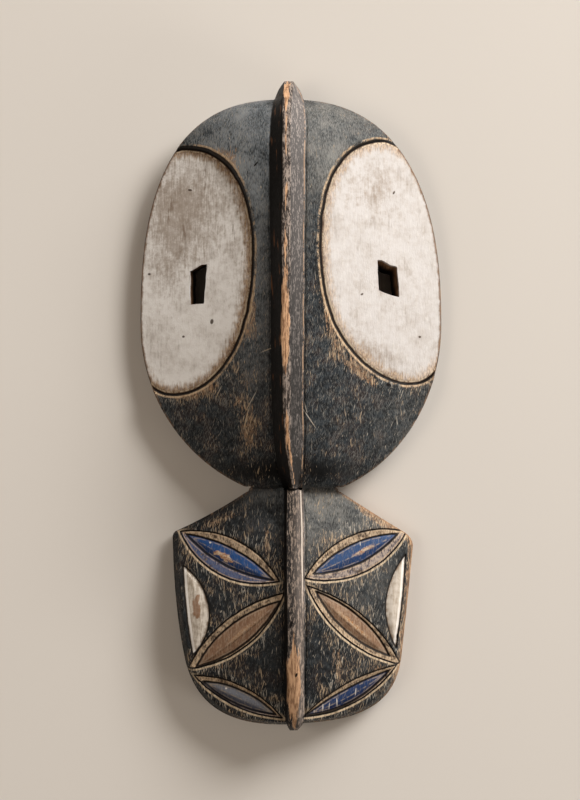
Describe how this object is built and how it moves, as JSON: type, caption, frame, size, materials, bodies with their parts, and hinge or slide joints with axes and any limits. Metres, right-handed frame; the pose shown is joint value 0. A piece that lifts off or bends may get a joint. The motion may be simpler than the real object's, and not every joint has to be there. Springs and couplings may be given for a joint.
{
  "type": "kwele mask",
  "caption": "Carved wooden face mask with a domed forehead, pierced oval eyes, a tall nose ridge, a leaf-carved lower panel and a hollowed back.",
  "frame": {"origin": "centre of the mask's box, on the flat back rim that it lies on", "axes": "+Z out of the face, up as the mask lies on its back; +Y towards the forehead; +X to the right as the face is seen"},
  "size_m": [0.2628, 0.56, 0.0918],
  "materials": {
    "painted_wood": "charcoal-black painted wood with white, blue and brown fields, worn to bare wood along its edges"
  },
  "bodies": {
    "root": {"mask": "painted_wood"}
  },
  "joints": []
}
